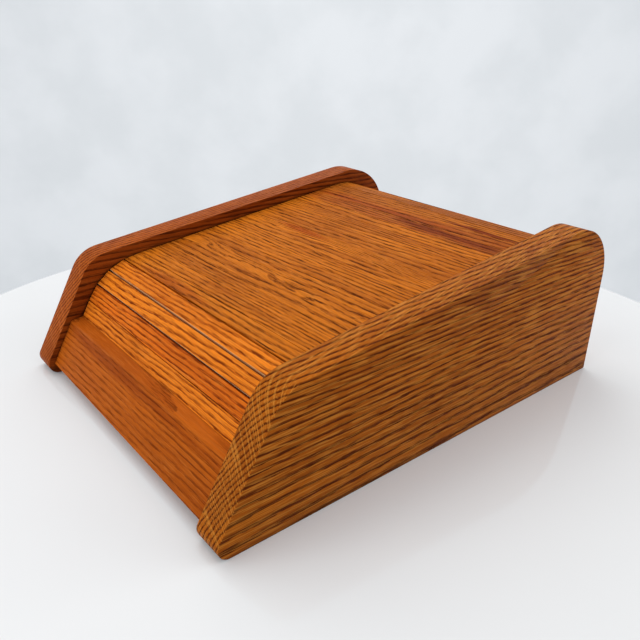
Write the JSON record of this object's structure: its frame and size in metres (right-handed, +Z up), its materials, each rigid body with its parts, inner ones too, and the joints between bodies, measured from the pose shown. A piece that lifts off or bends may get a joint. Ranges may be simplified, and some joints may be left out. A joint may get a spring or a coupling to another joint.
{
  "type": "tambour lid box",
  "caption": "Desk box in oiled oak with shaped side panels, a sloping top and a slatted tambour lid that slides back and down behind the contents",
  "frame": {"origin": "middle of the underside, on the table", "axes": "+X right, +Y back, +Z up; the sloping front faces -Y"},
  "size_m": [0.254, 0.3364, 0.1197],
  "materials": {
    "side_oak": "oiled red oak, grain along the depth",
    "board_oak": "oiled red oak, grain across the width",
    "slat_oak": "oiled red oak, grain across the width",
    "floor_oak": "oiled oak board",
    "dowel_beech": "plain beech",
    "backing_cloth": "unbleached woven cotton"
  },
  "bodies": {
    "box": {"side_panel_left": "side_oak", "side_panel_right": "side_oak", "front_board": "board_oak", "back_board": "board_oak", "floor_panel": "floor_oak", "front_dowels": "dowel_beech"},
    "sliding_slats": {"slat_06": "slat_oak", "slat_07": "slat_oak", "slat_08": "slat_oak", "slat_09": "slat_oak", "slat_10": "slat_oak", "slat_11": "slat_oak", "slat_12": "slat_oak", "slat_13": "slat_oak", "slat_14": "slat_oak", "backing_flat": "backing_cloth"},
    "link_01": {"slat_01": "slat_oak", "backing_01": "backing_cloth"},
    "link_02": {"slat_02": "slat_oak", "backing_02": "backing_cloth"},
    "link_03": {"slat_03": "slat_oak", "backing_03": "backing_cloth"},
    "link_04": {"slat_04": "slat_oak", "backing_04": "backing_cloth"},
    "link_05": {"slat_05": "slat_oak", "backing_05": "backing_cloth"},
    "link_15": {"slat_15": "slat_oak", "backing_15": "backing_cloth"},
    "link_16": {"slat_16": "slat_oak", "backing_16": "backing_cloth"},
    "link_17": {"slat_17": "slat_oak", "backing_17": "backing_cloth"},
    "link_18": {"slat_18": "slat_oak", "backing_18": "backing_cloth"},
    "link_19": {"slat_19": "slat_oak", "backing_19": "backing_cloth"},
    "link_20": {"slat_20": "slat_oak", "backing_20": "backing_cloth"},
    "link_21": {"slat_21": "slat_oak", "backing_21": "backing_cloth"},
    "link_22": {"slat_22": "slat_oak", "backing_22": "backing_cloth"},
    "link_23": {"slat_23": "slat_oak", "backing_23": "backing_cloth"},
    "link_24": {"slat_24": "slat_oak", "backing_24": "backing_cloth"}
  },
  "joints": [
    {"name": "lid_slide", "type": "slide", "parent": "box", "child": "sliding_slats", "axis": [0, 0.9893, 0.1461], "range_m": [0, 0.08665]},
    {"name": "bend_01", "type": "hinge", "parent": "sliding_slats", "child": "link_01", "pos_m": [0, -0.11521, 0.06797], "axis": [-1, 0, 0], "range_deg": [0, 53.6]},
    {"name": "bend_02", "type": "hinge", "parent": "sliding_slats", "child": "link_02", "pos_m": [0, -0.1128, 0.06918], "axis": [-1, 0, 0], "range_deg": [0, 48.33]},
    {"name": "bend_03", "type": "hinge", "parent": "sliding_slats", "child": "link_03", "pos_m": [0, -0.10673, 0.07158], "axis": [-1, 0, 0], "range_deg": [0, 33.14]},
    {"name": "bend_04", "type": "hinge", "parent": "sliding_slats", "child": "link_04", "pos_m": [0, -0.10011, 0.07349], "axis": [-1, 0, 0], "range_deg": [0, 17.72]},
    {"name": "bend_05", "type": "hinge", "parent": "sliding_slats", "child": "link_05", "pos_m": [0, -0.09014, 0.07525], "axis": [-1, 0, 0], "range_deg": [0, 3.25]},
    {"name": "bend_15", "type": "hinge", "parent": "sliding_slats", "child": "link_15", "pos_m": [0, 0.02007, 0.09153], "axis": [-1, 0, 0], "range_deg": [0, 7.22]},
    {"name": "bend_16", "type": "hinge", "parent": "sliding_slats", "child": "link_16", "pos_m": [0, 0.0291, 0.09229], "axis": [-1, 0, 0], "range_deg": [0, 26.62]},
    {"name": "bend_17", "type": "hinge", "parent": "sliding_slats", "child": "link_17", "pos_m": [0, 0.03591, 0.09195], "axis": [-1, 0, 0], "range_deg": [0, 46.21]},
    {"name": "bend_18", "type": "hinge", "parent": "link_17", "child": "link_18", "pos_m": [0, 0.0568, 0.09695], "axis": [-1, 0, 0], "range_deg": [0, 19.6]},
    {"name": "bend_19", "type": "hinge", "parent": "link_17", "child": "link_19", "pos_m": [0, 0.06308, 0.0968], "axis": [-1, 0, 0], "range_deg": [0, 39.19]},
    {"name": "bend_20", "type": "hinge", "parent": "link_17", "child": "link_20", "pos_m": [0, 0.06776, 0.09615], "axis": [-1, 0, 0], "range_deg": [0, 51.94]},
    {"name": "bend_21", "type": "hinge", "parent": "link_20", "child": "link_21", "pos_m": [0, 0.09354, 0.10238], "axis": [-1, 0, 0], "range_deg": [0, 0.2637]},
    {"name": "bend_22", "type": "hinge", "parent": "link_20", "child": "link_22", "pos_m": [0, 0.10547, 0.10411], "axis": [-1, 0, 0], "range_deg": [0, 9.81]},
    {"name": "bend_23", "type": "hinge", "parent": "link_20", "child": "link_23", "pos_m": [0, 0.11269, 0.10368], "axis": [-1, 0, 0], "range_deg": [0, 22.64]},
    {"name": "bend_24", "type": "hinge", "parent": "link_20", "child": "link_24", "pos_m": [0, 0.11835, 0.10145], "axis": [-1, 0, 0], "range_deg": [0, 34.46]}
  ],
  "couplings": [
    {"joint": "bend_01", "follows": "lid_slide", "rad_per_m": 10.796},
    {"joint": "bend_02", "follows": "lid_slide", "rad_per_m": 9.7337},
    {"joint": "bend_03", "follows": "lid_slide", "rad_per_m": 6.6741},
    {"joint": "bend_04", "follows": "lid_slide", "rad_per_m": 3.5686},
    {"joint": "bend_05", "follows": "lid_slide", "rad_per_m": 0.65336},
    {"joint": "bend_15", "follows": "lid_slide", "rad_per_m": 1.4531},
    {"joint": "bend_16", "follows": "lid_slide", "rad_per_m": 5.3603},
    {"joint": "bend_17", "follows": "lid_slide", "rad_per_m": 9.3066},
    {"joint": "bend_18", "follows": "lid_slide", "rad_per_m": 3.9462},
    {"joint": "bend_19", "follows": "lid_slide", "rad_per_m": 7.8925},
    {"joint": "bend_20", "follows": "lid_slide", "rad_per_m": 10.461},
    {"joint": "bend_21", "follows": "lid_slide", "rad_per_m": 0.052108},
    {"joint": "bend_22", "follows": "lid_slide", "rad_per_m": 1.974},
    {"joint": "bend_23", "follows": "lid_slide", "rad_per_m": 4.5601},
    {"joint": "bend_24", "follows": "lid_slide", "rad_per_m": 6.9401}
  ]
}
